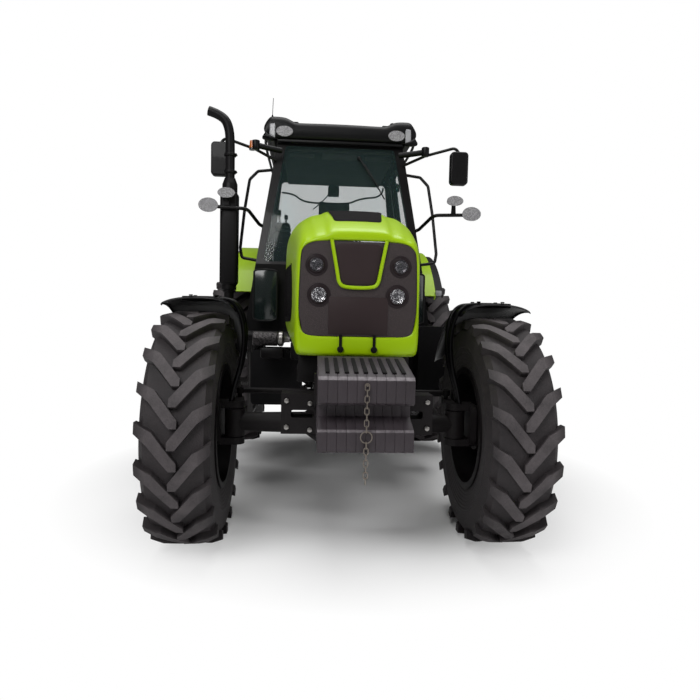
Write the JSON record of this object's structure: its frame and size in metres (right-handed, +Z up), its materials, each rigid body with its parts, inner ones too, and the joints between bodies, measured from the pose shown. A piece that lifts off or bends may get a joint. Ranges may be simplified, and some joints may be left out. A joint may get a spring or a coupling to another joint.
{
  "type": "farm tractor",
  "caption": "Four-wheel-drive farm tractor with a glazed cab, front weights, steered front wheels, tilting hood and a rear three-point linkage.",
  "frame": {"origin": "on the ground under the middle of the length and width", "axes": "+Z up, -Y is the way it drives, +X is its left side"},
  "size_m": [2.444, 5.1, 3.1648],
  "materials": {
    "tyre": "matt rubber",
    "rim_paint": "satin black paint",
    "body_green": "glossy lime green paint",
    "chassis_paint": "satin dark grey paint",
    "weight_iron": "painted casting",
    "bare_steel": "plain steel",
    "black_plastic": "fine grained black",
    "roof_plastic": "smooth black",
    "frame_black": "satin black paint",
    "clear_glass": "lightly tinted clear glass",
    "lamp_lens": "clear ribbed lens",
    "amber_lens": "clear amber",
    "exhaust_metal": "heat-proof black paint",
    "seat_cloth": "woven cloth"
  },
  "bodies": {
    "chassis": {"battery_box": "black_plastic", "beacon": "amber_lens", "cab_floor": "roof_plastic", "cab_frame": "frame_black", "cab_glass": "clear_glass", "dash": "black_plastic", "drawbar": "chassis_paint", "engine": "chassis_paint", "exhaust": "exhaust_metal", "fender_flares": "black_plastic", "front_axle": "chassis_paint", "front_support": "chassis_paint", "front_weights": "weight_iron", "fuel_tank": "black_plastic", "grab_rails": "frame_black", "hitch_frame": "chassis_paint", "lamp_arms": "frame_black", "mirrors": "frame_black", "pto_shaft": "bare_steel", "rear_fenders": "body_green", "roof": "roof_plastic", "seat_base": "frame_black", "seat_cushions": "seat_cloth", "side_box": "black_plastic", "steps": "chassis_paint", "top_link": "bare_steel", "transmission": "chassis_paint", "weight_chain": "bare_steel", "work_lamps": "lamp_lens"},
    "knuckle_left": {"knuckle_left": "chassis_paint", "front_fender_left": "black_plastic"},
    "knuckle_right": {"knuckle_right": "chassis_paint", "front_fender_right": "black_plastic"},
    "front_wheel_left": {"front_tyre_left": "tyre", "front_rim_left": "rim_paint"},
    "front_wheel_right": {"front_tyre_right": "tyre", "front_rim_right": "rim_paint"},
    "rear_wheel_left": {"rear_tyre_left": "tyre", "rear_rim_left": "rim_paint"},
    "rear_wheel_right": {"rear_tyre_right": "tyre", "rear_rim_right": "rim_paint"},
    "tie_rod": {"tie_rod": "bare_steel"},
    "hood": {"hood": "body_green", "hood_vents": "black_plastic", "grille_panel": "black_plastic", "headlamps": "lamp_lens"},
    "door_left": {"door_left": "frame_black", "door_glass_left": "clear_glass"},
    "door_right": {"door_right": "frame_black", "door_glass_right": "clear_glass"},
    "steering_wheel": {"steering_wheel": "black_plastic"},
    "lower_links": {"lower_links": "bare_steel"},
    "lift_arms": {"lift_arms": "chassis_paint"},
    "lift_rods": {"lift_rods": "bare_steel"}
  },
  "joints": [
    {"name": "steer_left", "type": "hinge", "parent": "chassis", "child": "knuckle_left", "pos_m": [0.69, -1.28, 0.722], "axis": [0, 0, 1], "range_deg": [-35, 35]},
    {"name": "steer_right", "type": "hinge", "parent": "chassis", "child": "knuckle_right", "pos_m": [-0.69, -1.28, 0.722], "axis": [0, 0, 1], "range_deg": [-35, 35]},
    {"name": "tie_rod_swing", "type": "hinge", "parent": "knuckle_left", "child": "tie_rod", "pos_m": [0.69, -1.025, 0.885], "axis": [0, 0, 1], "range_deg": [-35, 35]},
    {"name": "steering_wheel_turn", "type": "hinge", "parent": "chassis", "child": "steering_wheel", "pos_m": [0, 0.51, 2.075], "axis": [0, 0.4279, 0.9038], "range_deg": [-420, 420]},
    {"name": "front_spin_left", "type": "hinge", "parent": "knuckle_left", "child": "front_wheel_left", "pos_m": [0.9215, -1.28, 0.7], "axis": [1, 0, 0], "continuous": true},
    {"name": "front_spin_right", "type": "hinge", "parent": "knuckle_right", "child": "front_wheel_right", "pos_m": [-0.9215, -1.28, 0.7], "axis": [1, 0, 0], "continuous": true},
    {"name": "rear_spin_left", "type": "hinge", "parent": "chassis", "child": "rear_wheel_left", "pos_m": [0.991, 1.642, 0.8825], "axis": [1, 0, 0], "continuous": true},
    {"name": "rear_spin_right", "type": "hinge", "parent": "chassis", "child": "rear_wheel_right", "pos_m": [-0.991, 1.642, 0.8825], "axis": [1, 0, 0], "continuous": true},
    {"name": "hood_lift", "type": "hinge", "parent": "chassis", "child": "hood", "pos_m": [0, -0.13, 2.01], "axis": [-1, 0, 0], "range_deg": [0, 50]},
    {"name": "door_left_swing", "type": "hinge", "parent": "chassis", "child": "door_left", "pos_m": [0.72389, 1.09432, 2.14302], "axis": [-0.1507, 0.009, 0.9885], "range_deg": [0, 75]},
    {"name": "door_right_swing", "type": "hinge", "parent": "chassis", "child": "door_right", "pos_m": [-0.72389, 1.09432, 2.14302], "axis": [-0.1507, -0.009, -0.9885], "range_deg": [0, 75]},
    {"name": "link_lift", "type": "hinge", "parent": "chassis", "child": "lower_links", "pos_m": [0, 1.582, 0.6], "axis": [1, 0, 0], "range_deg": [-8, 35]},
    {"name": "lift_arm_turn", "type": "hinge", "parent": "chassis", "child": "lift_arms", "pos_m": [0, 1.792, 1.23], "axis": [1, 0, 0], "range_deg": [-8, 35]},
    {"name": "lift_rod_swing", "type": "hinge", "parent": "lift_arms", "child": "lift_rods", "pos_m": [0, 2.192, 1.162], "axis": [1, 0, 0], "range_deg": [-35, 8]}
  ],
  "couplings": [
    {"joint": "steer_right", "follows": "steer_left", "ratio": 1},
    {"joint": "tie_rod_swing", "follows": "steer_left", "ratio": -1},
    {"joint": "steering_wheel_turn", "follows": "steer_left", "ratio": 12},
    {"joint": "lift_arm_turn", "follows": "link_lift", "ratio": 1},
    {"joint": "lift_rod_swing", "follows": "link_lift", "ratio": -1}
  ]
}
